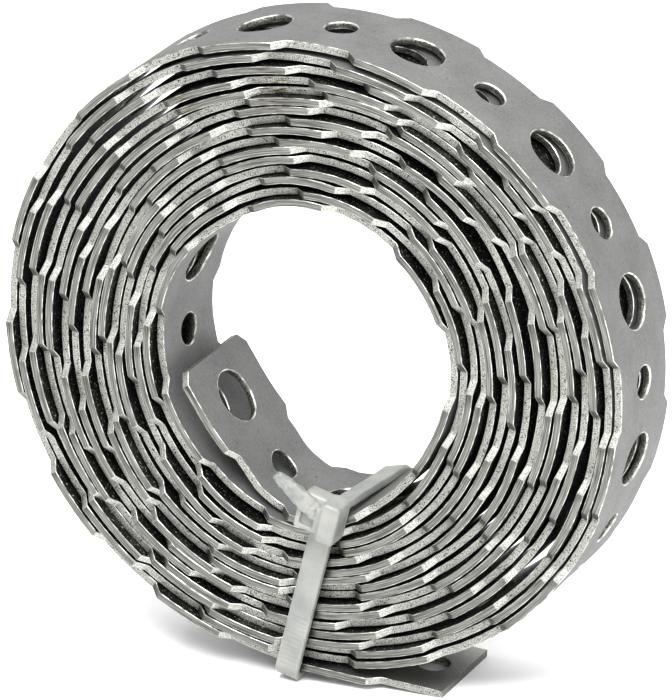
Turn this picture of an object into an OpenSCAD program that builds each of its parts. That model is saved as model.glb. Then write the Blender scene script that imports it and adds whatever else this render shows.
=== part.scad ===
// Roll of perforated metal strap, standing on its rim and bound with one cable tie.
// The roll's axis lies along Y, its front end faces -Y, and it rests on the tie and on its outer tail.

/* [Strap] */
// Width of the strap across its wide sections
strap_w = 17; // [14:0.5:21]
// Width across the necks between them
neck_w = 14.2; // [11.5:0.1:15.5]
// Thickness of the strap
strap_t = 1; // [0.8:0.05:1.2]
// Distance from one large hole to the next
hole_pitch = 21.45; // [18:0.05:27]
// Length of a wide section
wide_len = 9.7; // [8:0.1:12]
// Length of the slope from a wide section down to a neck
ramp_len = 1.5; // [0.8:0.1:2]
// Diameter of the large holes, in the wide sections
big_d = 7; // [5:0.1:8]
// Diameter of the small holes, in the necks
small_d = 4.2; // [3:0.1:5.5]

/* [Roll] */
// Outer radius of the roll where its outer tail leaves it
roll_r = 43.6; // [40:0.2:52]
// Whole turns in the roll
turns = 16; // [10:1:17]
// Distance from one turn to the next
turn_pitch = 1.46; // [1.2:0.01:1.8]
// Width of the solid middle that joins the packed turns
middle_w = 8; // [6:0.5:10]
// How much tighter the inner tail bends than the turn that it leaves
tail_ease = 3.4; // [1:0.1:5]
// Length of the straight end of the inner tail
tail_straight = 7.8; // [2:0.1:10]
// Least length of the inner tail, which ends at the next neck
tail_least = 20; // [14:1:26]

/* [Cable tie] */
// Width of the tie's band
tie_w = 3.2; // [2.5:0.1:4.8]
// Thickness of the tie's band
tie_t = 1.1; // [0.9:0.1:1.4]
// Lean of the tie from upright, across the front of the roll
tie_lean = 12; // [6:1:14]
// Distance of the tie's middle from the roll's axis, square to the tie
tie_side = 7.9; // [7:0.1:9]
// Size of the tie's head across the band
head_w = 5.6; // [5.4:0.1:7]
// Size of the head along the band
head_h = 4.4; // [4:0.1:6]
// Depth of the head off the front of the roll
head_d = 4.6; // [4:0.1:6]
// Length of the cut-off end that stands out of the head
stub_len = 6; // [3:0.5:8]

/* [Hidden] */
$fn = 96;
fit_gap = 0.1;       // between the tie and the strap
over = 1;            // how far a cut runs past the metal it cuts
cut_in = strap_t + over;
bend_steps = 18;

// The spiral is a chain of half turns, about two centres half a turn pitch apart.
mid_r = roll_r - strap_t / 2;
halves = 2 * turns;
neck_len = hole_pitch - wide_len - 2 * ramp_len;
first_big = -wide_len / 2;
tail_len = hole_pitch - ramp_len;
function half_r(j) = mid_r - j * turn_pitch / 2;
function half_cy(j) = (j % 2) * turn_pitch / 2;
function half_start(j) = PI * (j * mid_r - turn_pitch * j * (j - 1) / 4);
function half_of(s) = [for (j = [0:halves - 1]) if (s < half_start(j + 1)) j][0];

// The inner tail bends off the last half turn and ends at a neck.
bend_start = half_start(halves);
bend_r = half_r(halves - 1) - tail_ease;
bend_cy = half_cy(halves - 1) - tail_ease;
end_step = first_big + wide_len / 2 + ramp_len;
strap_end = end_step + hole_pitch * ceil((bend_start + tail_least - end_step) / hole_pitch);
bend_len = strap_end - bend_start - tail_straight;
bend_angle = bend_len / bend_r * 180 / PI;

// The tie leans, so one edge of its band bears under the roll and the other one in the bore.
tie_slot = strap_w / 2 + fit_gap;
bore_r = half_r(halves - 1) - strap_t / 2;
bore_cy = half_cy(halves - 1);
foot_d = sqrt(pow(roll_r, 2) - pow(tie_side - tie_w / 2, 2)) + fit_gap;
top_x = tie_side + tie_w / 2 + bore_cy * sin(tie_lean);
top_d = sqrt(pow(bore_r, 2) - pow(top_x, 2)) - bore_cy * cos(tie_lean) - fit_gap;
tie_high = foot_d - top_d;
tie_bend = 1;
head_tip = 30;

// The roll settles to the right until the tie's low corner and the end of the tail are level.
low_x = (tie_side + tie_w / 2) * cos(tie_lean) - (foot_d + tie_t) * sin(tie_lean);
low_y = (tie_side + tie_w / 2) * sin(tie_lean) + (foot_d + tie_t) * cos(tie_lean);
settle = atan2(low_y - roll_r, tail_len - low_x);
floor_z = tail_len * sin(settle) + roll_r * cos(settle);

// The origin is on the floor under the middle of the part, its tie included.
front_y = tie_slot + (head_d + stub_len) * cos(head_tip) + 2 * tie_t * sin(head_tip);
mid_y = (front_y - tie_slot - tie_t) / 2;

// Moves children to the place s along the strap, with X pointing out of the roll and Y back along the strap.
module at(s) {
    if (s < 0) translate([-s, -mid_r, 0]) rotate([0, 0, -90]) children();
    else if (s < bend_start) {
        j = half_of(s);
        turned = (s - half_start(j)) / half_r(j) * 180 / PI + j * 180;
        translate([0, half_cy(j), 0]) rotate([0, 0, -90 - turned]) translate([half_r(j), 0, 0]) children();
    } else {
        bent = min(s - bend_start, bend_len);
        translate([0, bend_cy, 0]) rotate([0, 0, -90 - bent / bend_r * 180 / PI])
            translate([bend_r, bent + bend_start - s, 0]) children();
    }
}

// Cuts one neck into both edges of the strap: X is through the strap, Y along it, Z across it.
module neck_cut() {
    half_long = neck_len / 2 + ramp_len;
    slope = ramp_len / (strap_w - neck_w) * 2;
    for (side = [-1, 1])
        translate([-cut_in, 0, 0]) rotate([90, 0, 90]) linear_extrude(2 * cut_in)
            polygon([
                [-neck_len / 2, side * neck_w / 2],
                [neck_len / 2, side * neck_w / 2],
                [half_long + over * slope, side * (strap_w / 2 + over)],
                [-half_long - over * slope, side * (strap_w / 2 + over)]
            ]);
}

module round_cut(d) {
    translate([-cut_in, 0, 0]) rotate([0, 90, 0]) cylinder(d = d, h = 2 * cut_in);
}

// The necks of the strap from one place to another, and its holes too where they are open to view.
module waves(from, to, open) {
    reach = neck_len / 2 + ramp_len;
    for (n = [ceil((from - reach) / hole_pitch):floor((to + reach) / hole_pitch)]) {
        small_s = first_big + (n + 0.5) * hole_pitch;
        if (small_s > from - reach && small_s < to + reach) at(small_s) neck_cut();
        if (open) {
            at(small_s) round_cut(small_d);
            at(first_big + n * hole_pitch) round_cut(big_d);
        }
    }
}

// The strap's flat section, standing on the radius r.
module section(r) {
    translate([r - strap_t / 2, -strap_w / 2]) square([strap_t, strap_w]);
}

// One half turn, with its holes where it is the outermost or the innermost turn.
module half_turn(j) {
    difference() {
        translate([0, half_cy(j), 0]) rotate([0, 0, j % 2 == 0 ? 90 : -90])
            rotate_extrude(angle = 180) section(half_r(j));
        waves(half_start(j), half_start(j + 1), j < 2 || j >= halves - 2);
    }
}

// The packed turns are solid in the middle of their width, between the second turn and the last but one.
module middle() {
    for (j = [0, 1])
        translate([0, half_cy(j), 0]) rotate([0, 0, j == 0 ? 90 : -90]) rotate_extrude(angle = 180)
            translate([half_r(halves - 4 + j), -middle_w / 2])
                square([half_r(2 + j) - half_r(halves - 4 + j), middle_w]);
}

module outer_tail() {
    difference() {
        translate([0, -mid_r - strap_t / 2, -strap_w / 2]) cube([tail_len, strap_t, strap_w]);
        waves(-tail_len, 0, true);
    }
}

// One side of the inner tail, off its middle line: round the bend in short steps, then straight.
function tail_side(off) = concat(
    [for (i = [0:bend_steps]) let (a = -90 - bend_angle * i / bend_steps)
        [(bend_r + off) * cos(a), bend_cy + (bend_r + off) * sin(a)]],
    [let (a = -90 - bend_angle)
        [(bend_r + off) * cos(a) + tail_straight * sin(a), bend_cy + (bend_r + off) * sin(a) - tail_straight * cos(a)]]
);

function backwards(list) = [for (i = [len(list) - 1:-1:0]) list[i]];

module inner_tail() {
    difference() {
        translate([0, 0, -strap_w / 2]) linear_extrude(strap_w)
            polygon(concat(tail_side(strap_t / 2), backwards(tail_side(-strap_t / 2))));
        waves(bend_start, strap_end, true);
    }
}

module strap_flat() {
    for (j = [0:halves - 1]) half_turn(j);
    middle();
    outer_tail();
    inner_tail();
}

// Stands the roll up: its axis goes from Z to Y, and it settles on the tie and the tail.
module stand() {
    translate([0, mid_y, floor_z]) rotate([0, settle, 0]) rotate([90, 0, 0]) children();
}

module strap() {
    color([0.58, 0.59, 0.58]) stand() strap_flat();
}

module rounded(w, h, r) {
    translate([-w / 2, r]) square([w, h - 2 * r]);
    translate([r - w / 2, 0]) square([w - 2 * r, h]);
    for (x = [-1, 1], y = [r, h - r]) translate([x * (w / 2 - r), y]) circle(r);
}

// The tie's band is a loop, sharp inside where it is pulled over the strap's edges.
// X is across the band, Y up, Z off the front.
module tie_loop() {
    translate([tie_w / 2, 0, 0]) rotate([0, -90, 0]) linear_extrude(tie_w) difference() {
        translate([0, -tie_t]) rounded(2 * (tie_slot + tie_t), tie_high + 2 * tie_t, tie_bend);
        translate([-tie_slot, 0]) square([2 * tie_slot, tie_high]);
    }
}

// The head sits on the front of the loop at its top, tipped back, and the cut end stands out of it.
module tie_head() {
    translate([0, tie_high, tie_slot + tie_t * sin(head_tip)]) rotate([-head_tip, 0, 0]) {
        translate([-head_w / 2, -head_h + tie_t, 0]) cube([head_w, head_h, head_d]);
        translate([-tie_w / 2, -tie_t, head_d - over]) cube([tie_w, tie_t, stub_len + over]);
    }
}

module cable_tie() {
    color([0.87, 0.87, 0.83]) stand()
        rotate([0, 0, -tie_lean]) translate([tie_side, -foot_d, 0]) {
            tie_loop();
            tie_head();
        }
}

strap();
cable_tie();
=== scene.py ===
"""Roll of perforated metal strap, bound with a nylon cable tie.

Builds the wound strap, the tie, their finishes and a studio.
"""

import math

import bmesh
import bpy
import numpy as np
from bpy.props import FloatProperty, FloatVectorProperty, IntProperty, PointerProperty
from mathutils import Matrix, Vector, noise


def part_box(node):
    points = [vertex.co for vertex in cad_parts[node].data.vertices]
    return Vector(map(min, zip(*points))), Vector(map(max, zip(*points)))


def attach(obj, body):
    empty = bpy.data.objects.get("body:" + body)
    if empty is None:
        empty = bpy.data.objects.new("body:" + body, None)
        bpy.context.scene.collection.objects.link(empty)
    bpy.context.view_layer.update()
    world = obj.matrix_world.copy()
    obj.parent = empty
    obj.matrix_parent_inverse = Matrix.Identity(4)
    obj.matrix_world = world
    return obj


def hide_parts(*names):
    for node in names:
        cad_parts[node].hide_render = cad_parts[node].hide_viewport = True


bl_info = {
    "name": "Perforated strap roll",
    "version": (1, 0, 0),
    "blender": (4, 5, 0),
    "location": "3D View > Sidebar > Strap roll",
    "description": "Builds a roll of wavy-edged perforated steel strap, bound with a nylon cable tie",
    "category": "Add Mesh",
}

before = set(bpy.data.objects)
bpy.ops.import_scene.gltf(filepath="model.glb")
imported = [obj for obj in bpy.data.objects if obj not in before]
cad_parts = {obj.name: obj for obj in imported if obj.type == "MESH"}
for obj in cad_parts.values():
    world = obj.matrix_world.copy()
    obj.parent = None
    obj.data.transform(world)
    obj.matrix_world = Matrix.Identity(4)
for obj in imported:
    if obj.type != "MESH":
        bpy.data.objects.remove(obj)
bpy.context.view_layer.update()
STRAP_LOW, STRAP_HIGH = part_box("strap")
MM = 0.001
# The middle of the strap's width, in mm.
MIDDLE_Y = round((STRAP_LOW.y + STRAP_HIGH.y) / 2 / MM, 4)

# Radius of each turn's outer face, in mm, at the places round the roll that STATIONS gives
# in degrees from its lowest point, clockwise from the front. A real roll is wound unevenly.
STATIONS = (20, 45, 70, 95, 120, 145, 170, 195, 220, 245, 270, 295, 320, 345)
TURN_RADII = (
    (42.95, 43.6, 44.05, 44.15, 43.95, 43.4, 42.7, 42.65, 43.05, 43.5, 43.5, 43.2, 42.65, 42.05),
    (41.8, 42.25, 42.85, 42.8, 42.55, 41.8, 41.05, 40.85, 41.5, 41.85, 42.15, 41.9, 41.2, 40.6),
    (40.6, 40.75, 41.05, 41.0, 40.65, 39.95, 39.55, 39.75, 40.2, 40.5, 40.6, 40.55, 39.85, 39.45),
    (39.6, 39.75, 39.8, 39.5, 38.8, 38.15, 37.9, 38.35, 38.8, 39.0, 38.9, 38.35, 38.0, 38.0),
    (38.5, 38.6, 38.45, 38.0, 37.05, 36.55, 36.5, 37.3, 37.55, 37.75, 37.5, 36.9, 36.6, 36.7),
    (37.2, 37.25, 37.1, 36.2, 35.4, 35.15, 35.5, 36.2, 36.4, 36.5, 35.85, 35.15, 35.0, 35.2),
    (35.9, 35.95, 35.65, 34.65, 33.8, 33.75, 34.3, 34.9, 35.2, 35.25, 34.5, 33.75, 33.8, 34.05),
    (34.9, 34.7, 34.0, 33.0, 32.35, 32.3, 32.7, 33.65, 34.15, 33.75, 32.95, 32.55, 32.3, 32.65),
    (33.7, 33.35, 32.5, 31.35, 31.0, 31.2, 31.6, 32.0, 32.55, 31.6, 30.9, 31.0, 30.75, 31.5),
    (32.4, 32.1, 31.1, 30.15, 29.7, 29.9, 30.0, 30.5, 30.5, 29.6, 29.4, 29.05, 29.4, 30.2),
    (31.3, 30.95, 29.9, 28.9, 28.55, 28.45, 28.95, 29.3, 29.05, 28.35, 27.8, 27.65, 28.05, 29.1),
    (29.9, 29.35, 28.6, 27.65, 27.3, 27.1, 27.7, 27.85, 27.6, 26.75, 26.2, 26.2, 26.7, 27.6),
    (28.9, 27.75, 27.05, 26.2, 25.95, 25.8, 26.1, 26.35, 25.9, 25.4, 24.85, 24.5, 25.3, 26.5),
    (27.1, 26.35, 25.6, 25.1, 24.7, 24.35, 25.05, 24.8, 24.75, 24.05, 23.4, 23.1, 24.05, 25.25),
    (25.6, 24.5, 24.2, 23.7, 23.35, 23.05, 23.15, 23.3, 22.95, 22.6, 21.95, 21.7, 22.65, 23.85),
    (23.7, 22.85, 22.6, 22.4, 22.1, 21.4, 22.05, 21.75, 21.35, 21.0, 20.6, 20.05, 20.6, 22.2),
)
# The inner tail: degrees past the last whole turn, and the radius of its outer face in mm.
INNER_TAIL = (
    (0, 22.75), (10, 22.3), (20, 21.25), (28, 19.9), (36, 19.15), (50, 18.7), (60, 18.75), (73, 19.5),
)
# Those radii are taken from a middle this far below the roll's axis, in mm.
SAG = 0.4
# How much further round the strap lies than evenly spaced turns would put it, in mm, at the start of
# each turn.
SLIPS = (
    0, 3.7, 4.7, 6.8, 9.4, 11.3, 13.0, 14.9, 16.4, 18.4, 20.3, 21.9, 23.0, 23.4, 23.2, 23.3, 22.7,
)
# The strap slips only past this many pitches from where the outer tail leaves the roll, so that the holes
# up to there lie where the frame has them.
EVEN_PITCHES = 10.75
# How many pitches, from that place and to the inner end, have the rounder holes of open turns.
FINE_PITCHES = (14, 8)
# How many have an outer face without painted shade, counted the same way, and how many to the inner end
# have an inner face without it.
UNSHADED_OUTSIDE = (27, 3)
UNSHADED_INSIDE = 10
# Places of the strap's finishes among its materials.
FACE, SLIT, PUNCHED, RAMP, HOLE, CORNER, SHADE_AND_DUST = range(7)
# Where light rust has begun, X, Y and Z in mm, and how far it reaches.
RUST_SPOTS = (((-15.5, -3.9, 77.5), 2.6), ((-3.0, -3.9, 81.3), 5.0))


def linear(hex_colour):
    """An sRGB hex colour as a linear one, with its alpha."""
    parts = [int(hex_colour[i : i + 2], 16) / 255 for i in (0, 2, 4)]
    return (*[p / 12.92 if p <= 0.04045 else ((p + 0.055) / 1.055) ** 2.4 for p in parts], 1)


def colour_property(name, description, hex_colour):
    """A colour that a user can change."""
    return FloatVectorProperty(
        name=name, description=description, default=linear(hex_colour), subtype="COLOR", size=4, min=0, max=1
    )


def length_property(name, description, millimetres):
    """A length that a user can change."""
    return FloatProperty(name=name, description=description, default=millimetres * MM, unit="LENGTH")


def angle_property(name, description, degrees):
    """An angle that a user can change."""
    return FloatProperty(
        name=name, description=description, default=math.radians(degrees), subtype="ANGLE", unit="ROTATION"
    )


class StrapSizes(bpy.types.PropertyGroup):
    width: length_property("Width", "Across the wide sections", 17)
    neck_width: length_property("Neck width", "Across the necks", 14.2)
    thickness: length_property("Thickness", "Of the steel", 1)
    pitch: length_property("Pitch", "From one large hole to the next", 21.45)
    wide_length: length_property("Wide section", "Length of a wide section", 9.7)
    ramp_length: length_property("Ramp", "Length of the slope between a wide section and a neck", 1.5)
    large_hole: length_property("Large holes", "Their diameter", 7)
    small_hole: length_property("Small holes", "Their diameter", 4.2)
    edge_round: length_property("Edge rounding", "Width of the worn corner along every side", 0.09)
    hole_round: length_property("Hole rounding", "Width of the drawn-in corner round every hole", 0.19)


class RollSizes(bpy.types.PropertyGroup):
    outer_radius: length_property("Outer radius", "Of the roll, where its outer tail leaves it", 43.6)
    squash: FloatProperty(
        name="Width share", description="Width of the wound roll, as a share of its stated radii",
        default=0.985,
    )
    settle: angle_property("Settling", "Turn of the roll as it settles on its tail and tie", 5.02748)
    axis_height: length_property("Axis height", "Of the roll's middle above the floor", 45.18055)
    middle_depth: length_property("Middle", "Of the strap's width, along the roll's axis", MIDDLE_Y)
    pitches: IntProperty(
        name="Pitches", description="Large holes from the outer tail to the inner end", default=149
    )
    turn_pitch: length_property("Turn spacing", "Mean distance from one turn to the next", 1.46)
    least_gap: length_property("Least spacing", "From one turn to the next where they touch", 1.03)


class TieSizes(bpy.types.PropertyGroup):
    width: length_property("Band width", "Across the band", 3.2)
    thickness: length_property("Band thickness", "Of the band", 1.1)
    lean: angle_property("Lean", "Of the tie from upright", 12)
    side: length_property("Side", "From the roll's axis to the band's middle", 7.9)
    foot: length_property("Foot", "Height of the loop's lower inside face from the axis", -43.24)
    top: length_property("Top", "Height of the loop's upper inside face from the axis", -18.6)
    ridge: length_property("Ridge pitch", "Of the band's grip ridges", 0.65)
    ridge_depth: length_property("Ridge depth", "Of the same ridges", 0.11)
    drift: length_property("Drift", "Sideways run of the strand in the bore, front to back", 2.1)
    tuck: length_property("Tuck", "How far its back corner is pulled in over a neck", 1.2)
    twist: angle_property("Twist", "Of the same strand", 29)


class Colours(bpy.types.PropertyGroup):
    zinc_dark: colour_property("Zinc, dark", "Darker clouds of the strap's plated faces", "606160")
    zinc_light: colour_property("Zinc, light", "Lighter clouds of the same faces", "6f706f")
    slit_dark: colour_property("Slit edge, dark", "Lines along the wide sections' sides", "565753")
    slit_light: colour_property("Slit edge, light", "The metal between those lines", "8b8c87")
    punched_dark: colour_property("Punched edge, dark", "Hollows of the necks' sheared sides", "6c6d67")
    punched_light: colour_property("Punched edge, light", "Grains of the same sides", "c2c3bd")
    slope_dark: colour_property("Slope, dark", "Drag marks on the slopes to the necks", "6e6f69")
    slope_light: colour_property("Slope, light", "The burnished metal of the slopes", "c6c7c1")
    wall_dark: colour_property("Hole wall, dark", "Hollows of the holes' walls", "54524c")
    wall_light: colour_property("Hole wall, light", "Grains of the holes' walls", "a3a199")
    corner_dark: colour_property("Corner, dark", "Less worn parts of the strap's corners", "868783")
    corner_light: colour_property("Corner, light", "Rubbed parts of the strap's corners", "dcddd8")
    painted_shade_dark: colour_property("Painted shade, dark", "Darker painted shade between the turns and on slopes", "2a2b2a")
    painted_shade_light: colour_property("Painted shade, light", "Lighter painted shade between the turns and on slopes", "4a4b49")
    rust: colour_property("Rust", "Light rust on the packed turns", "4a3d29")
    nylon_dark: colour_property("Nylon, dark", "Deeper haze of the tie", "7a7d7b")
    nylon_light: colour_property("Nylon, light", "Paler haze of the tie", "90918c")
    floor: colour_property("Floor", "The studio's floor", "f8f8f8")


def node(tree, kind, links=(), **settings):
    """Adds a node to a material. links is pairs of its input and the output that feeds it or its value."""
    made = tree.nodes.new(kind)
    for name, value in settings.items():
        setattr(made, name, value)
    for name, source in links:
        if isinstance(source, bpy.types.NodeSocket):
            tree.links.new(source, made.inputs[name])
        else:
            made.inputs[name].default_value = source
    return made


def new_material(name):
    made = bpy.data.materials.new(name)
    made.use_nodes = True
    return made, made.node_tree, made.node_tree.nodes["Principled BSDF"]


def grain(tree, size, detail=3):
    """A noise whose marks are about the given size, in mm. A pair of sizes, along and across the strap, makes
    it follow the strap."""
    follows = isinstance(size, tuple)
    place = node(tree, "ShaderNodeTexCoord").outputs["UV" if follows else "Object"]
    if follows:
        scale = (1 / size[0] / MM, 1 / size[1] / MM, 1)
        place = node(tree, "ShaderNodeVectorMath", [(0, place), (1, scale)], operation="MULTIPLY").outputs[0]
    made = node(tree, "ShaderNodeTexNoise", [
        ("Vector", place), ("Scale", 1 if follows else 1 / size / MM), ("Detail", detail),
    ])
    return made.outputs["Fac"]


def spread(tree, value, low, high, to_low=0.0, to_high=1.0):
    """Maps a value from one range onto another, and holds it there."""
    return node(tree, "ShaderNodeMapRange", [
        ("Value", value), ("From Min", low), ("From Max", high), ("To Min", to_low), ("To Max", to_high),
    ]).outputs["Result"]


def blend(tree, factor, first, second):
    """Mixes two colours. Its sockets go by number, because the ones for colours share their names."""
    links = [(0, factor), (6, first), (7, second)]
    return node(tree, "ShaderNodeMix", links, data_type="RGBA").outputs[2]


def raise_grain(tree, shader, height, depth):
    """Raises a value as relief of the given depth, in mm."""
    made = node(tree, "ShaderNodeBump", [("Height", height), ("Strength", 1.0), ("Distance", depth * MM)])
    tree.links.new(made.outputs["Normal"], shader.inputs["Normal"])


def rusted(tree, colour, colours):
    """Adds light rust, in thin lines along the strap, in the two places where it has begun."""
    place = node(tree, "ShaderNodeTexCoord").outputs["Object"]
    streaks = spread(tree, grain(tree, (2.4, 0.2), 4), 0.5, 0.58)
    for spot, reach in RUST_SPOTS:
        spot = [v * MM for v in spot]
        away = node(tree, "ShaderNodeVectorMath", [(0, place), (1, spot)], operation="DISTANCE")
        near = spread(tree, away.outputs["Value"], reach * MM, 0.3 * reach * MM)
        mark = node(tree, "ShaderNodeMath", [(0, near), (1, streaks)], operation="MULTIPLY")
        colour = blend(tree, mark.outputs[0], colour, colours.rust)
    return colour


def zinc_plated_steel(colours):
    # Cold-rolled strip, thinly zinc-plated: an even dull grey with soft clouds, fine grain and rolling lines.
    made, tree, shader = new_material("Zinc-plated steel, cold-rolled")
    shader.inputs["Metallic"].default_value = 0.45
    clouds = spread(tree, grain(tree, 5, 4), 0.3, 0.7)
    colour = blend(tree, clouds, colours.zinc_dark, colours.zinc_light)
    fine = grain(tree, 0.3, 2)
    colour = blend(tree, spread(tree, fine, 0.3, 0.7, 0, 0.2), colour, linear("a5a6a3"))
    specks = spread(tree, grain(tree, 0.6, 2), 0.7, 0.75)
    colour = blend(tree, specks, colour, linear("4a4b48"))
    tree.links.new(rusted(tree, colour, colours), shader.inputs["Base Color"])
    lines = grain(tree, (9, 0.14))
    tree.links.new(spread(tree, lines, 0.3, 0.7, 0.5, 0.66), shader.inputs["Roughness"])
    both = node(tree, "ShaderNodeMath", [(0, lines), (1, fine)], operation="ADD")
    raise_grain(tree, shader, both.outputs[0], 0.006)
    return made


def slit_edge(colours):
    # The strip's slit sides, left on the wide sections: smooth, with fine lines along them.
    made, tree, shader = new_material("Slit steel edge")
    shader.inputs["Metallic"].default_value = 1
    lines = grain(tree, (6, 0.15))
    colour = blend(tree, spread(tree, lines, 0.38, 0.62), colours.slit_dark, colours.slit_light)
    tree.links.new(rusted(tree, colour, colours), shader.inputs["Base Color"])
    shader.inputs["Roughness"].default_value = 0.42
    raise_grain(tree, shader, lines, 0.03)
    return made


def punched_edge(colours):
    # Sheared by the punch: a bright, grainy break with small dark pits.
    made, tree, shader = new_material("Punched steel edge")
    shader.inputs["Metallic"].default_value = 1
    grains = grain(tree, 0.14, 3)
    colour = blend(tree, spread(tree, grains, 0.38, 0.62), colours.punched_dark, colours.punched_light)
    pits = spread(tree, grain(tree, 0.24, 4), 0.6, 0.65)
    colour = blend(tree, pits, colour, linear("3a3a36"))
    tree.links.new(rusted(tree, colour, colours), shader.inputs["Base Color"])
    shader.inputs["Roughness"].default_value = 0.55
    raise_grain(tree, shader, grains, 0.06)
    return made


def punched_ramp(colours):
    # The slopes, where the punch slid along the steel first: burnished bright, with fine drag marks.
    # Painted shade darkens the ones that face away from up and to the right.
    made, tree, shader = new_material("Burnished steel slope")
    shader.inputs["Metallic"].default_value = 1
    marks = grain(tree, 0.12, 3)
    colour = blend(tree, spread(tree, marks, 0.36, 0.58), colours.slope_dark, colours.slope_light)
    normal = node(tree, "ShaderNodeNewGeometry").outputs["Normal"]
    lit_way = (0.85, 0, 0.5)
    lit_facing = node(tree, "ShaderNodeVectorMath", [(0, normal), (1, lit_way)], operation="DOT_PRODUCT")
    slope_painted_shade = blend(tree, spread(tree, marks, 0.4, 0.6), colours.painted_shade_dark, colours.painted_shade_light)
    # Painted shade: slopes turned away from up and to the right are darkened.
    colour = blend(tree, spread(tree, lit_facing.outputs["Value"], 0.02, -0.2, 0, 0.9), colour, slope_painted_shade)
    tree.links.new(rusted(tree, colour, colours), shader.inputs["Base Color"])
    shader.inputs["Roughness"].default_value = 0.4
    raise_grain(tree, shader, marks, 0.05)
    return made


def hole_wall(colours):
    # The punched walls of the holes: torn and dull, with oil and dust left on them.
    made, tree, shader = new_material("Punched steel, oily")
    shader.inputs["Metallic"].default_value = 1
    grains = grain(tree, 0.22, 3)
    colour = blend(tree, spread(tree, grains, 0.35, 0.65), colours.wall_dark, colours.wall_light)
    tree.links.new(colour, shader.inputs["Base Color"])
    shader.inputs["Roughness"].default_value = 0.5
    raise_grain(tree, shader, grains, 0.06)
    return made


def worn_corner(colours):
    # The strap's corners, rubbed bright where it has run through the machine's guides.
    made, tree, shader = new_material("Rubbed steel corner")
    shader.inputs["Metallic"].default_value = 1
    wear = spread(tree, grain(tree, 1.2, 4), 0.4, 0.6)
    tree.links.new(blend(tree, wear, colours.corner_dark, colours.corner_light), shader.inputs["Base Color"])
    shader.inputs["Roughness"].default_value = 0.34
    return made


def shaded_dusty_steel(colours):
    # The faces between the turns: a painted shade darkens them, and pale dust specks lie on it.
    made, tree, shader = new_material("Steel strip, painted shade and dust")
    shader.inputs["Metallic"].default_value = 1
    painted_shade_clouds = spread(tree, grain(tree, 2.5, 4), 0.35, 0.65)
    colour = blend(tree, painted_shade_clouds, colours.painted_shade_dark, colours.painted_shade_light)
    # Painted light: lighter towards the end of the outer tail, whose top the roll shades.
    flat = node(tree, "ShaderNodeTexCoord").outputs["UV"]
    along = node(tree, "ShaderNodeSeparateXYZ", [("Vector", flat)]).outputs["X"]
    colour = blend(tree, spread(tree, along, -2 * MM, -13 * MM), colour, linear("b0b1ae"))
    dust = spread(tree, grain(tree, 0.3, 2), 0.63, 0.68)
    tree.links.new(blend(tree, dust, colour, linear("d0d0cc")), shader.inputs["Base Color"])
    shader.inputs["Roughness"].default_value = 0.5
    return made


def natural_nylon(colours):
    # Natural nylon, moulded: milky and slightly translucent, with a soft sheen and specks of dirt.
    made, tree, shader = new_material("Natural nylon, moulded")
    haze = spread(tree, grain(tree, 4, 3), 0.35, 0.65)
    colour = blend(tree, haze, colours.nylon_dark, colours.nylon_light)
    dirt = spread(tree, grain(tree, 0.4, 3), 0.69, 0.74)
    tree.links.new(blend(tree, dirt, colour, linear("857c6a")), shader.inputs["Base Color"])
    shader.inputs["Roughness"].default_value = 0.38
    shader.inputs["IOR"].default_value = 1.53
    shader.inputs["Subsurface Weight"].default_value = 0.35
    shader.inputs["Subsurface Radius"].default_value = (0.9, 1, 1)
    shader.inputs["Subsurface Scale"].default_value = 0.5 * MM
    raise_grain(tree, shader, grain(tree, 0.4, 3), 0.03)
    return made


def cut_through(bm, place, way, reach, **rest):
    """Cuts a whole mesh along a plane, and gives what lies on the cut. Corners nearer to it than reach do."""
    every = bm.verts[:] + bm.edges[:] + bm.faces[:]
    cut = bmesh.ops.bisect_plane(bm, geom=every, dist=reach, plane_co=place, plane_no=way, **rest)
    return cut["geom_cut"]


def thicken(bm, way):
    """Makes a sheet solid, by growing it along the given way."""
    grown = bmesh.ops.extrude_face_region(bm, geom=bm.faces[:])["geom"]
    bmesh.ops.translate(bm, verts=[v for v in grown if isinstance(v, bmesh.types.BMVert)], vec=way)


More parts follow.
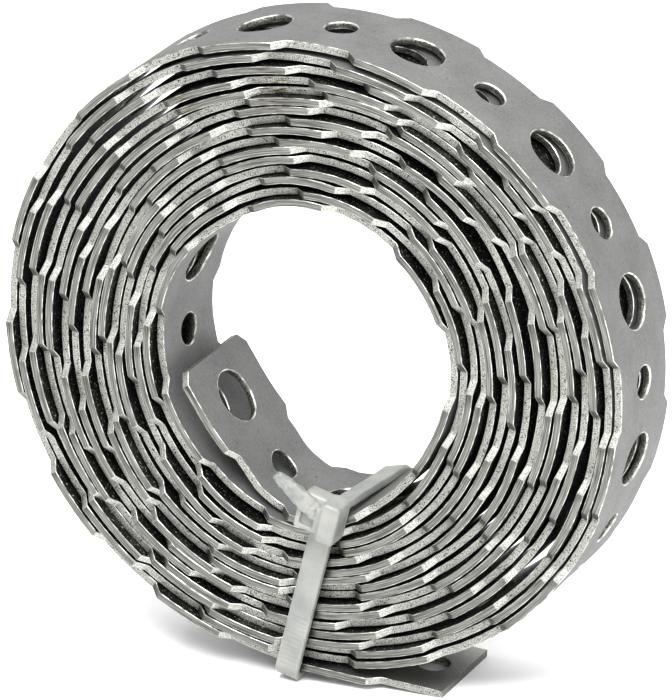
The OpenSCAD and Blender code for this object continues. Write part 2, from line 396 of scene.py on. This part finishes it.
def flat_cell(s, large_sides, small_sides):
    """One pitch of the flat strap, from a place in one neck to the same place in the next, along X, with its
    large hole at X = 0, open at both ends. Its outer face is up."""
    # Two pitches join in a neck, this far past the large hole.
    end = 7.5 * MM
    start = end - s.pitch
    # Places nearer than this are the same one.
    same = 1e-7
    wide, slope = s.wide_length / 2, s.wide_length / 2 + s.ramp_length
    side = [(start, s.neck_width / 2), (-slope, s.neck_width / 2), (-wide, s.width / 2), (wide, s.width / 2),
            (slope, s.neck_width / 2), (end, s.neck_width / 2)]
    bm = bmesh.new()
    corners = [bm.verts.new((x, y, s.thickness / 2)) for x, y in side + [(x, -y) for x, y in reversed(side)]]
    for a, b in zip(corners, corners[1:] + corners[:1]):
        bm.edges.new((a, b))
    for x, size, sides in ((0, s.large_hole, large_sides), (-s.pitch / 2, s.small_hole, small_sides)):
        bmesh.ops.create_circle(
            bm, segments=sides, radius=size / 2, matrix=Matrix.Translation((x, 0, s.thickness / 2))
        )
    bmesh.ops.triangle_fill(bm, edges=bm.edges[:], use_beauty=True)
    # Cross cuts let the strap bend, and the fill's own edges between them are dissolved.
    # They run through corners of the outline and of the holes, or well between two corners, so that no
    # sliver stops the bevels.
    cuts = [s.large_hole / 2 * math.cos(math.radians(a)) for a in (36, 72, 108, 144)]
    cuts += [s.small_hole / 2 * math.cos(math.radians(a)) - s.pitch / 2 for a in (360 / 7, 90, 900 / 7)]
    cuts = sorted([*cuts, start, -slope - s.ramp_length, -slope, -wide, wide, slope, end])
    for x in cuts[1:-1]:
        cut_through(bm, (x, 0, 0), (1, 0, 0), 0.005 * MM)
    inside = [e for e in bm.edges if len(e.link_faces) == 2 and abs(e.verts[0].co.x - e.verts[1].co.x) > 1e-6]
    bmesh.ops.dissolve_edges(bm, edges=inside, use_verts=False)
    loose = [
        v for v in bm.verts
        if len(v.link_edges) == 2 and min(abs(v.co.x - x) for x in cuts) < same
        and abs(v.link_edges[0].other_vert(v).co.x - v.link_edges[1].other_vert(v).co.x) < same
    ]
    bmesh.ops.dissolve_verts(bm, verts=loose)
    # The sheet gets its thickness, and stays open at both ends.
    thicken(bm, (0, 0, -s.thickness))
    ends = [f for f in bm.faces if any(all(abs(v.co.x - x) < same for v in f.verts) for x in (start, end))]
    bmesh.ops.delete(bm, geom=ends, context="FACES_ONLY")
    bmesh.ops.recalc_face_normals(bm, faces=bm.faces[:])
    largest = max(bm.faces, key=lambda f: f.calc_area())
    if largest.normal.z * largest.calc_center_median().z < 0:
        bmesh.ops.reverse_faces(bm, faces=bm.faces[:])
    for f in bm.faces:
        if abs(f.normal.z) < 0.5:
            reach = min(abs(v.co.y) for v in f.verts)
            on_slit, on_neck = reach > s.width / 2 - 1e-6, reach > s.neck_width / 2 - 1e-6
            on_ramp = on_neck and abs(f.normal.x) > 0.3
            f.material_index = SLIT if on_slit else RAMP if on_ramp else PUNCHED if on_neck else HOLE
    # The walls of the holes are smooth round them, and the strap's sides keep their sharp turns.
    for e in bm.edges:
        if len(e.link_faces) == 2 and all(abs(f.normal.z) < 0.5 for f in e.link_faces):
            e.smooth = e.link_faces[0].normal.angle(e.link_faces[1].normal) < math.radians(35)
    rims = [
        e for e in bm.edges
        if len(e.link_faces) == 2 and abs(abs(e.link_faces[0].normal.z) - abs(e.link_faces[1].normal.z)) > 0.5
    ]
    hole_rims = [e for e in rims if any(f.material_index == HOLE for f in e.link_faces)]
    side_rims = [e for e in rims if e not in hole_rims]
    for edges, offset in ((side_rims, s.edge_round), (hole_rims, s.hole_round)):
        bmesh.ops.bevel(
            bm, geom=edges, offset=offset, offset_type="OFFSET", segments=2, profile=0.5, affect="EDGES",
            material=CORNER, clamp_overlap=True, loop_slide=True,
        )
    return bm


def wound_path(s, roll):
    """The strap's middle line, round the roll from where the outer tail leaves it, then along the inner tail.
    Gives the length along it, X and Z, and the outward direction's X and Z, in metres, a value a degree."""
    knots = [(0, roll.outer_radius / MM - SAG)]
    knots += [(360 * k + a, r) for k, row in enumerate(TURN_RADII) for a, r in zip(STATIONS, row)]
    knots += [(360 * len(TURN_RADII) + a, r) for a, r in INNER_TAIL]
    at, radius = np.array(knots, float).T
    # A smooth curve through the knots.
    slope = np.gradient(radius, at)
    slope[0] = 0
    angle = np.arange(0, at[-1] + 1e-9, 1.0)
    k = np.clip(np.searchsorted(at, angle, side="right") - 1, 0, len(at) - 2)
    h = at[k + 1] - at[k]
    t = (angle - at[k]) / h
    r = (
        (2 * t**3 - 3 * t**2 + 1) * radius[k] + (t**3 - 2 * t**2 + t) * h * slope[k]
        + (3 * t**2 - 2 * t**3) * radius[k + 1] + (t**3 - t**2) * h * slope[k + 1]
    ) * MM
    # No turn cuts into the one round it.
    for i in range(360, len(r)):
        r[i] = min(r[i], r[i - 360] - roll.least_gap)
    r -= s.thickness / 2
    turned = np.radians(angle)
    x, z = -r * np.sin(turned) * roll.squash, -r * np.cos(turned) - SAG * MM
    along = np.concatenate([[0], np.cumsum(np.hypot(np.diff(x), np.diff(z)))])
    dx, dz = np.gradient(x, along), np.gradient(z, along)
    size = np.hypot(dx, dz)
    return along, x, z, -dz / size, dx / size


def settled(points, roll):
    """Turns points with the roll, as it settles, and lifts them off the floor. Columns are X, Y and Z."""
    c, s = math.cos(roll.settle), math.sin(roll.settle)
    x, y, z = points.T
    return np.stack([x * c + z * s, y + roll.middle_depth, -x * s + z * c + roll.axis_height], 1)


def wind(co, s, roll):
    """Moves points of the flat strap, X along it, Y across and Z through, onto the roll."""
    along, x, z, out_x, out_z = wound_path(s, roll)
    # Each turn takes the length of strap that evenly spaced turns would take, less what it slips.
    half_turns = 2 * np.arange(len(TURN_RADII) + 1)
    middle = roll.outer_radius - s.thickness / 2
    turn_starts = math.pi * (half_turns * middle - roll.turn_pitch * half_turns * (half_turns - 1) / 4)
    turn_starts = np.array(turn_starts) - np.array(SLIPS) * MM
    even = EVEN_PITCHES * s.pitch
    strap_places = [0, even, *turn_starts[1:], roll.pitches * s.pitch + s.ramp_length]
    even_run = even / (turn_starts[1] + SLIPS[1] * MM) * along[360]
    run = np.interp(co[:, 0], strap_places, [0, even_run, *along[360::360], along[-1]])
    tail = np.minimum(co[:, 0], 0)
    nx, nz = np.interp(run, along, out_x), np.interp(run, along, out_z)
    size = np.hypot(nx, nz)
    px = np.interp(run, along, x) - tail + nx / size * co[:, 2]
    pz = np.interp(run, along, z) + nz / size * co[:, 2]
    return settled(np.stack([px, co[:, 1], pz], 1), roll)


class STRAP_OT_strap(bpy.types.Operator):
    """Winds the perforated strap on itself, with its two loose ends"""

    bl_idname = "strap_roll.strap"
    bl_label = "Wound strap"

    def execute(self, context):
        s, roll = context.scene.strap_sizes, context.scene.roll_sizes
        pitches = roll.pitches
        # The holes that are seen are rounder than the ones packed between turns.
        open_cell = flat_cell(s, 40, 28)
        packed_cell = flat_cell(s, 20, 14)
        bm = bmesh.new()
        for n in range(-1, pitches + 1):
            fine = n < FINE_PITCHES[0] or n > pitches - FINE_PITCHES[1]
            part = (open_cell if fine else packed_cell).copy()
            # The other zinc faces, those between packed turns, get painted shade and dust instead.
            unshaded_out = n < UNSHADED_OUTSIDE[0] or n > pitches - UNSHADED_OUTSIDE[1]
            unshaded_in = n > pitches - UNSHADED_INSIDE
            for f in part.faces:
                # Painted shade: faces packed between turns take the dark finish.
                if f.material_index == FACE and not (unshaded_out if f.calc_center_median().z > 0 else unshaded_in):
                    f.material_index = SHADE_AND_DUST
            bmesh.ops.translate(part, verts=part.verts[:], vec=(n * s.pitch - s.wide_length / 2, 0, 0))
            piece = bpy.data.meshes.new("pitch")
            part.to_mesh(piece)
            bm.from_mesh(piece)
            bpy.data.meshes.remove(piece)
            part.free()
        # The pitches meet inside the necks.
        bmesh.ops.remove_doubles(bm, verts=bm.verts[:], dist=0.004 * MM)
        # The strap is cut off square where a slope meets a neck, at both ends.
        tail_end, inner_end = -s.pitch + s.ramp_length, pitches * s.pitch + s.ramp_length
        for x, way, place in ((tail_end, -1, SLIT), (inner_end, 1, PUNCHED)):
            cut = cut_through(bm, (x, 0, 0), (way, 0, 0), 1e-8, clear_outer=True)
            rim = [e for e in cut if isinstance(e, bmesh.types.BMEdge)]
            cap = bmesh.ops.contextual_create(bm, geom=rim)["faces"]
            for f in cap:
                f.material_index = place
                for e in f.edges:
                    e.smooth = False
        bmesh.ops.recalc_face_normals(bm, faces=bm.faces[:])
        # Lengthwise and crosswise place on the strap, in metres, for the finishes.
        lay = bm.loops.layers.uv.new("flat")
        for f in bm.faces:
            f.smooth = True
            for loop in f.loops:
                co = loop.vert.co
                loop[lay].uv = (co.x, co.y if f.material_index in (FACE, SHADE_AND_DUST) else co.z)
        mesh = bpy.data.meshes.new("strap_wound")
        bm.to_mesh(mesh)
        bm.free()
        open_cell.free()
        packed_cell.free()
        co = np.zeros(len(mesh.vertices) * 3)
        mesh.vertices.foreach_get("co", co)
        mesh.vertices.foreach_set("co", wind(co.reshape(-1, 3), s, roll).ravel())
        mesh.update()
        # In the order that FACE to SHADE_AND_DUST gives.
        for finish in (
            zinc_plated_steel, slit_edge, punched_edge, punched_ramp, hole_wall, worn_corner, shaded_dusty_steel
        ):
            mesh.materials.append(finish(context.scene.roll_colours))
        piece = bpy.data.objects.new("strap_wound", mesh)
        context.scene.collection.objects.link(piece)
        weighted = piece.modifiers.new("Weighted normals", "WEIGHTED_NORMAL")
        weighted.keep_sharp = True
        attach(piece, "root")
        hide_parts("strap")
        return {"FINISHED"}


def ease(value):
    """Goes smoothly from 0 to 1 as the value does, and holds outside them."""
    value = min(max(value, 0), 1)
    return value * value * (3 - 2 * value)


def tie_placed(bm, tie, roll):
    """Moves a tie piece, X across the band, Y up from the roll's axis and Z off its front, onto the roll."""
    c, s = math.cos(tie.lean), math.sin(tie.lean)
    co = np.array([v.co for v in bm.verts])
    x, y, z = co.T
    for v, place in zip(bm.verts, settled(np.stack([x * c + y * s, -z, -x * s + y * c], 1), roll)):
        v.co = place


def tie_piece(bm, name, context):
    """Makes a piece of the tie from a mesh."""
    bmesh.ops.recalc_face_normals(bm, faces=bm.faces[:])
    for f in bm.faces:
        f.smooth = True
    mesh = bpy.data.meshes.new(name)
    bm.to_mesh(mesh)
    bm.free()
    mesh.materials.append(natural_nylon(context.scene.roll_colours))
    piece = bpy.data.objects.new(name, mesh)
    context.scene.collection.objects.link(piece)
    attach(piece, "root")
    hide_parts("cable_tie")
    return piece


def block(bm, low, high, rounding, segments=3):
    """Adds a rounded block between two corners, in mm."""
    low, high = Vector(low) * MM, Vector(high) * MM
    matrix = Matrix.Translation((low + high) / 2) @ Matrix.Diagonal((*(high - low), 1))
    verts = set(bmesh.ops.create_cube(bm, size=1, matrix=matrix)["verts"])
    edges = [e for e in bm.edges if e.verts[0] in verts]
    bmesh.ops.bevel(
        bm, geom=edges, offset=rounding * MM, offset_type="OFFSET", segments=segments, profile=0.5,
        affect="EDGES", material=-1,
    )


class STRAP_OT_tie_band(bpy.types.Operator):
    """Pulls the tie's band round the front, the bore, the back and the foot of the roll"""

    bl_idname = "strap_roll.tie_band"
    bl_label = "Tie band"

    def execute(self, context):
        tie, roll = context.scene.tie_sizes, context.scene.roll_sizes
        # Room round the strap, the reach of the loop's bends, and the rounding of the band's own corners.
        room, bend, corner = 0.1 * MM, 2.1 * MM, 0.25 * MM
        half = context.scene.strap_sizes.width / 2 + room
        low, high, t = tie.foot, tie.top, tie.thickness
        bm = bmesh.new()
        corners = ((low - t, -half - t), (low - t, half + t), (high + t, half + t), (high + t, -half - t))
        outline = [bm.verts.new((tie.side - tie.width / 2, y, z)) for y, z in corners]
        bm.faces.new(outline)
        bmesh.ops.bevel(
            bm, geom=outline, offset=bend, offset_type="OFFSET", segments=8, profile=0.5, affect="VERTICES",
            material=-1,
        )
        bm.normal_update()
        ring = bmesh.ops.inset_region(
            bm, faces=bm.faces[:], thickness=t, use_even_offset=True, use_boundary=True
        )["faces"]
        bmesh.ops.delete(bm, geom=[f for f in bm.faces if f not in ring], context="FACES")
        thicken(bm, (tie.width, 0, 0))
        bmesh.ops.recalc_face_normals(bm, faces=bm.faces[:])
        # The corners along both of the band's sides are a little rounded.
        sides = [e for e in bm.edges if sorted(abs(f.normal.x) > 0.9 for f in e.link_faces) == [False, True]]
        bmesh.ops.bevel(
            bm, geom=sides, offset=corner, offset_type="OFFSET", segments=3, profile=0.5, affect="EDGES",
            material=-1,
        )
        # Cross cuts for its ridges and its twist. The ridges start 1 mm up, and leave both sides flat.
        first, half_ridge = low + 1 * MM, 1.15 * MM
        cuts = [((0, y, 0), (0, 1, 0)) for y in np.arange(first, high - 1 * MM, tie.ridge / 4)]
        cuts += [((0, 0, z), (0, 0, 1)) for z in np.linspace(-half + 1 * MM, half - 1 * MM, 16)]
        cuts += [((tie.side + x, 0, 0), (1, 0, 0)) for x in (-half_ridge, half_ridge)]
        for place, way in cuts:
            cut_through(bm, place, way, 1e-8)
        # Above this the band is smooth.
        ridged_to = low + 0.36 * (high - low)
        for v in bm.verts:
            x, y, z = v.co
            on_front = z > half + t - 0.05 * MM
            if on_front and abs(x - tie.side) < half_ridge + 0.05 * MM and first - 0.1 * MM < y < ridged_to:
                v.co.z -= tie.ridge_depth * math.sin(math.pi * (y - first) / tie.ridge) ** 2
            # The strand in the bore runs sideways, and lies turned on the innermost turn.
            back = ease((half - z) / (2 * half))
            left_head = ease((half - z) / (2.5 * MM))
            up = min(max((y - low) / (high - low), 0), 1)
            turn = tie.twist * left_head * ease((y - high + 3 * MM) / (3 * MM))
            dx, dy = x - tie.side, y - high - t / 2
            if turn:
                v.co.x = tie.side + dx * math.cos(turn) - dy * math.sin(turn)
                v.co.y = high + t / 2 + dx * math.sin(turn) + dy * math.cos(turn)
            v.co.x += tie.drift * (0.45 * left_head + 0.55 * back) * up
            v.co.z += tie.tuck * back * ease((y - high + 5 * MM) / (4 * MM))
        tie_placed(bm, tie, roll)
        tie_piece(bm, "tie_band", context)
        return {"FINISHED"}


class STRAP_OT_tie_head(bpy.types.Operator):
    """Puts the tie's head on the front of the band"""

    bl_idname = "strap_roll.tie_head"
    bl_label = "Tie head"

    def execute(self, context):
        tie, roll = context.scene.tie_sizes, context.scene.roll_sizes
        bm = bmesh.new()
        # The body at the left, and three walls round its pocket.
        block(bm, (4.75, -21.0, 9.0), (8.9, -17.2, 11.4), 0.3)
        block(bm, (4.75, -21.0, 11.0), (5.5, -17.2, 12.1), 0.25)
        block(bm, (4.75, -21.0, 11.0), (8.9, -20.3, 12.1), 0.25)
        block(bm, (7.3, -21.0, 11.0), (8.9, -17.2, 12.1), 0.25)
        # The thick wall of the slot to the right, and the web behind them.
        block(bm, (8.2, -21.6, 8.8), (10.8, -15.8, 12.9), 0.55)
        block(bm, (4.9, -18.5, 8.7), (10.5, -16.0, 11.4), 0.6)
        tie_placed(bm, tie, roll)
        piece = tie_piece(bm, "tie_head", context)
        # One skin over the blocks, softened as a moulding is.
        skin = piece.modifiers.new("One skin", "REMESH")
        skin.mode, skin.voxel_size, skin.use_smooth_shade = "VOXEL", 0.12 * MM, True
        soft = piece.modifiers.new("Soft corners", "SMOOTH")
        soft.factor, soft.iterations = 0.5, 3
        return {"FINISHED"}


class STRAP_OT_tie_end(bpy.types.Operator):
    """Stands the cut-off end of the band out of its head, roughly cut"""

    bl_idname = "strap_roll.tie_end"
    bl_label = "Tie end"

    def execute(self, context):
        tie, roll = context.scene.tie_sizes, context.scene.roll_sizes
        length, cuts_along, cuts_across = 8.6 * MM, 34, 7
        bm = bmesh.new()
        block(bm, (-1.15, -0.6, 0), (1.15, 0.6, length / MM), 0.3, 2)
        long_edges = [e for e in bm.edges if abs(e.verts[0].co.z - e.verts[1].co.z) > length / 2]
        bmesh.ops.subdivide_edges(bm, edges=long_edges, cuts=cuts_along, use_grid_fill=True)
        wide_edges = [e for e in bm.edges if abs(e.verts[0].co.x - e.verts[1].co.x) > 0.8 * MM]
        bmesh.ops.subdivide_edges(bm, edges=wide_edges, cuts=cuts_across, use_grid_fill=True)
        root, tip = Vector((8.3, -18.9, 11.0)) * MM, Vector((1.75, -14.6, 13.2)) * MM
        ahead = (tip - root).normalized()
        across = ahead.cross(Vector((0.3, 0.2, 1))).normalized()
        frame_of_end = Matrix((across, ahead.cross(across), ahead)).transposed()
        # Unseeded, this noise differs from one run to the next.
        noise.seed_set(4)
        for v in bm.verts:
            along = v.co.z / length
            # It narrows to half its width over the last three fifths.
            taper = 1 - 0.5 * max(0, (along - 0.4) / 0.6) ** 1.5
            torn = noise.noise_vector(v.co / (0.55 * MM)) * 0.2 * MM
            torn += noise.noise_vector(v.co / (0.24 * MM)) * 0.13 * MM
            narrowed = Vector((v.co.x * taper, v.co.y * (1 - 0.2 * along), v.co.z))
            v.co = root + frame_of_end @ (narrowed + torn)
        tie_placed(bm, tie, roll)
        tie_piece(bm, "tie_end", context)
        return {"FINISHED"}


class STRAP_OT_stage(bpy.types.Operator):
    """Lays the pale floor and sets the soft lights and the camera"""

    bl_idname = "strap_roll.stage"
    bl_label = "Studio"

    def execute(self, context):
        scene = context.scene
        bm = bmesh.new()
        bmesh.ops.create_grid(bm, x_segments=1, y_segments=1, size=3)
        mesh = bpy.data.meshes.new("floor")
        bm.to_mesh(mesh)
        bm.free()
        floor = bpy.data.objects.new("floor", mesh)
        made, tree, shader = new_material("Matt white studio floor")
        shader.inputs["Base Color"].default_value = scene.roll_colours.floor
        shader.inputs["Roughness"].default_value = 0.9
        mesh.materials.append(made)
        scene.collection.objects.link(floor)
        world = bpy.data.worlds.new("Studio air")
        world.use_nodes = True
        world.node_tree.nodes["Background"].inputs["Color"].default_value = (1, 1, 1, 1)
        world.node_tree.nodes["Background"].inputs["Strength"].default_value = 0.75
        scene.world = world
        scene.view_settings.view_transform = "Standard"
        scene.view_settings.look = "Medium High Contrast"
        # Soft square lights, all turned to the middle of the roll: place, side in metres and power in watts.
        middle = Vector((0, 0.0046, 0.045))
        for name, place, size, power in (
            ("key", (0.1, -0.5, 0.8), 0.45, 9.5),
            ("side", (0.6, -0.55, 0.4), 0.5, 2.7),
            ("top", (0.2, 0.1, 1), 1.2, 6),
        ):
            light = bpy.data.lights.new(name, "AREA")
            light.size, light.energy = size, power
            lamp = bpy.data.objects.new(name, light)
            lamp.location = place
            lamp.rotation_euler = (middle - Vector(place)).to_track_quat("-Z", "Y").to_euler()
            scene.collection.objects.link(lamp)
        camera = bpy.data.cameras.new("camera")
        camera.lens, camera.sensor_width = 334.2857, 36
        camera.clip_start, camera.clip_end = 0.01, 10
        view = bpy.data.objects.new("camera", camera)
        # Its place and its ways ahead and up, from the middle of the roll's axis and before the roll settles.
        stand = Vector((320.9, -697.5, 323.3)) * MM
        ahead, up = Vector((-0.385, 0.837, -0.39)).normalized(), Vector((-0.193, 0.34, 0.92))
        right = ahead.cross(up).normalized()
        up = right.cross(ahead)
        roll = scene.roll_sizes
        turn = Matrix.Rotation(roll.settle, 4, "Y")
        basis = Matrix((right, up, -ahead)).transposed().to_4x4()
        basis.translation = stand
        view.matrix_world = Matrix.Translation((0, roll.middle_depth, roll.axis_height)) @ turn @ basis
        scene.collection.objects.link(view)
        scene.camera = view
        return {"FINISHED"}


class STRAP_PT_panel(bpy.types.Panel):
    """Lists the pieces of the strap roll"""

    bl_label = "Strap roll"
    bl_idname = "STRAP_PT_panel"
    bl_space_type = "VIEW_3D"
    bl_region_type = "UI"
    bl_category = "Strap roll"

    def draw(self, context):
        for operator in OPERATORS:
            self.layout.operator(operator.bl_idname)


OPERATORS = (STRAP_OT_strap, STRAP_OT_tie_band, STRAP_OT_tie_head, STRAP_OT_tie_end, STRAP_OT_stage)
CLASSES = (StrapSizes, RollSizes, TieSizes, Colours, *OPERATORS, STRAP_PT_panel)


def register():
    for c in CLASSES:
        bpy.utils.register_class(c)
    bpy.types.Scene.strap_sizes = PointerProperty(type=StrapSizes)
    bpy.types.Scene.roll_sizes = PointerProperty(type=RollSizes)
    bpy.types.Scene.tie_sizes = PointerProperty(type=TieSizes)
    bpy.types.Scene.roll_colours = PointerProperty(type=Colours)


def unregister():
    for name in ("roll_colours", "tie_sizes", "roll_sizes", "strap_sizes"):
        delattr(bpy.types.Scene, name)
    for c in reversed(CLASSES):
        bpy.utils.unregister_class(c)


def main():
    register()
    bpy.ops.strap_roll.strap()
    bpy.ops.strap_roll.tie_band()
    bpy.ops.strap_roll.tie_head()
    bpy.ops.strap_roll.tie_end()
    bpy.ops.strap_roll.stage()


if __name__ == "__main__":
    main()
